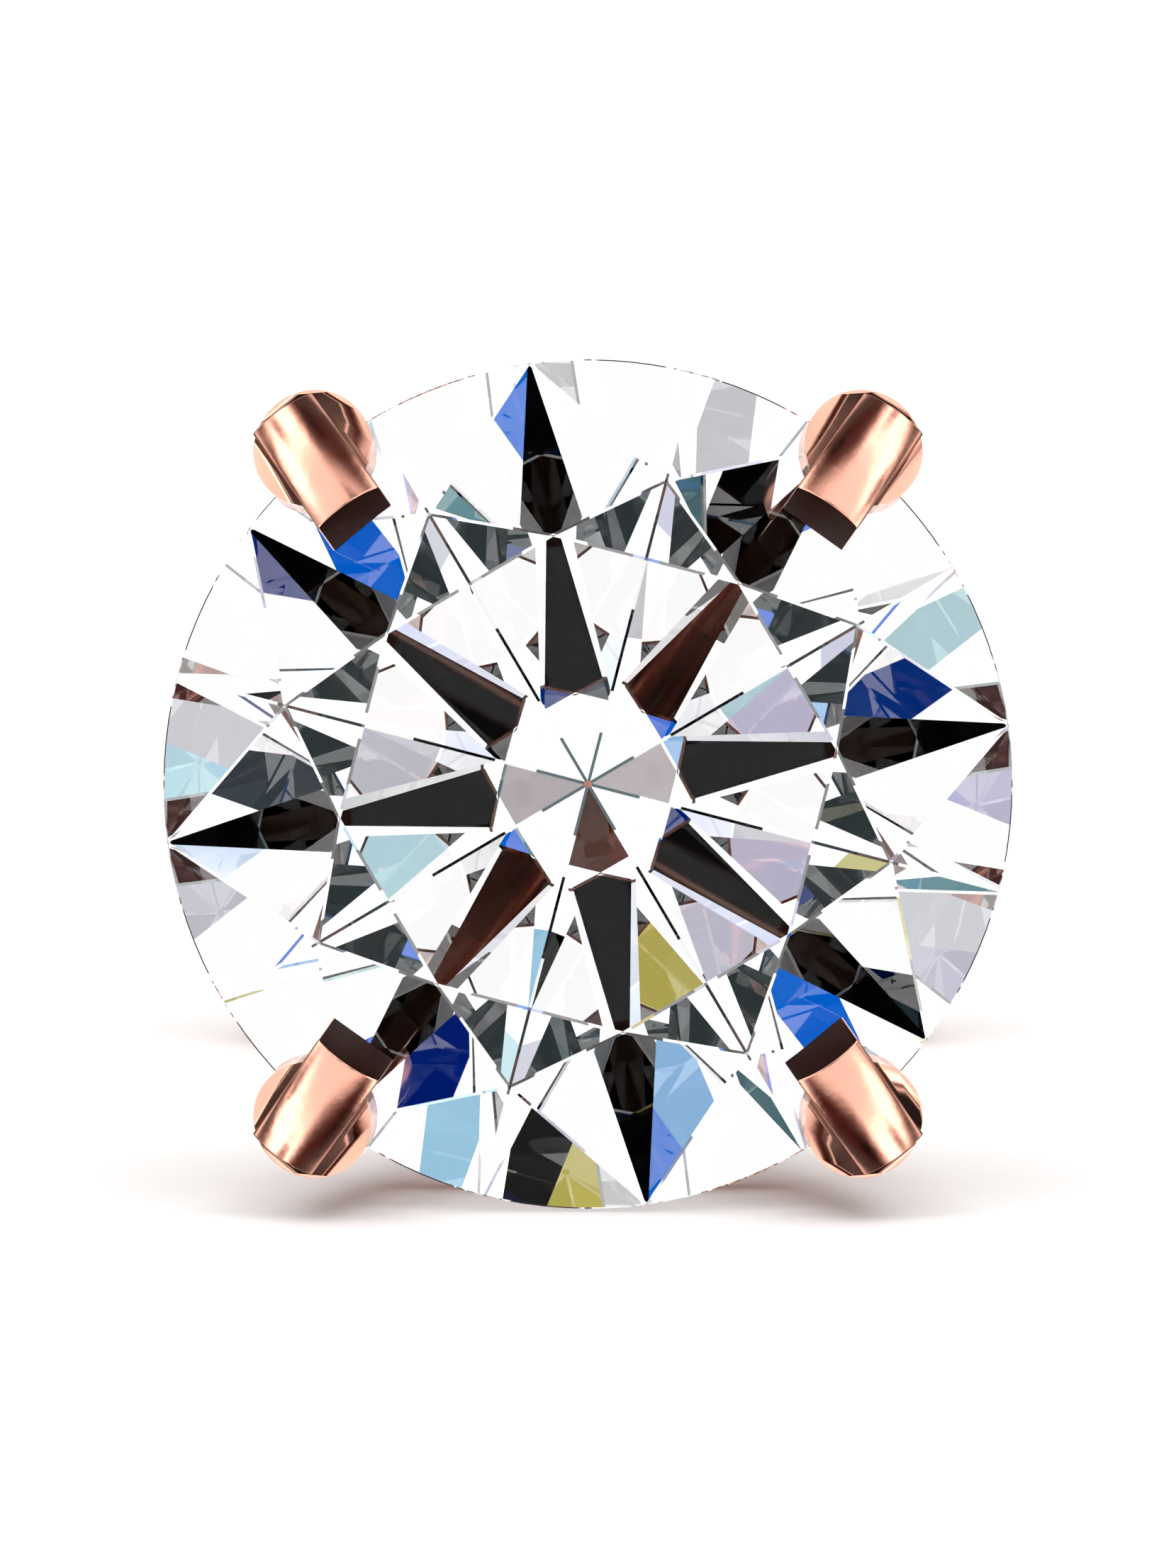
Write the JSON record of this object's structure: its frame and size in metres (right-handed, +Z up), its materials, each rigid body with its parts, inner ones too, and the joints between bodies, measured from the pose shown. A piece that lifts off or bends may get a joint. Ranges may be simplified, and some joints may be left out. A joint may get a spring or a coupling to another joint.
{
  "type": "stud earring",
  "caption": "Claw-set stud earring with a round brilliant-cut clear stone, a rose-gold setting and post, and a curled push back, lying on its side.",
  "frame": {"origin": "middle of the bottom of the bounding box, on the surface that the stud lies on", "axes": "+Z up, +Y back along the post towards the push back, -Y the side that the stone's table faces, tipped up a little, +X to the right as seen from the front"},
  "size_m": [0.0064, 0.015, 0.0065],
  "materials": {
    "clear_stone": "polished facets",
    "rose_gold": "polished",
    "clasp_gold": "polished"
  },
  "bodies": {
    "root": {"stone": "clear_stone", "setting": "rose_gold", "push_back": "clasp_gold"}
  },
  "joints": []
}
